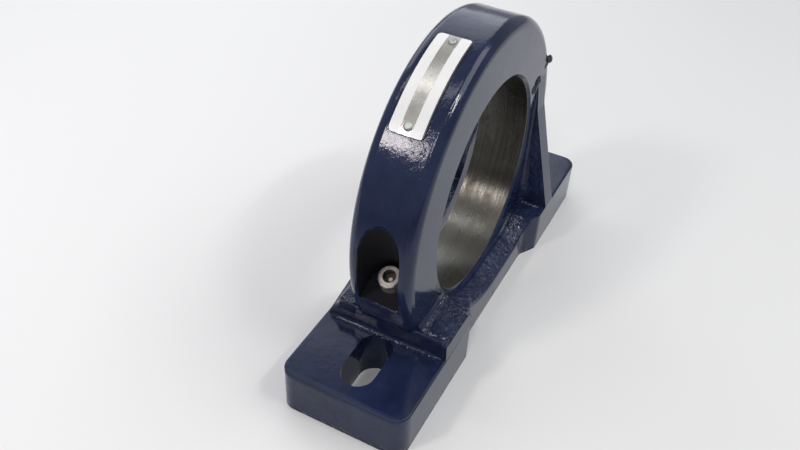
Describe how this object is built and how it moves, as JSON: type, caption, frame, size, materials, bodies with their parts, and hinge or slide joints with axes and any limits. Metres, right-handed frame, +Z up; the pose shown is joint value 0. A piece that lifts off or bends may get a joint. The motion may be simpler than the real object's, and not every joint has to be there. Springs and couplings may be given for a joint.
{
  "type": "split plummer block",
  "caption": "Foot-mounted split bearing housing with an inclined joint, a cap held by socket-head screws, and slotted feet.",
  "frame": {"origin": "centre of the underside, below the bearing bore", "axes": "+X along the feet towards the high end of the joint, +Y along the bearing bore, +Z up"},
  "size_m": [0.33, 0.093, 0.224],
  "materials": {
    "paint": "gloss navy enamel on cast iron, with the bore left machined",
    "screw_steel": "plain steel, slightly oiled",
    "dowel_steel": "ground steel",
    "plate": "white enamel with a bare metal stripe",
    "rivet": "bright"
  },
  "bodies": {
    "root": {"base": "paint", "cap": "paint", "screw_low": "screw_steel", "screw_high": "screw_steel", "dowel_low": "dowel_steel", "dowel_high": "dowel_steel", "nameplate": "plate", "rivet_low": "rivet", "rivet_high": "rivet"}
  },
  "joints": []
}
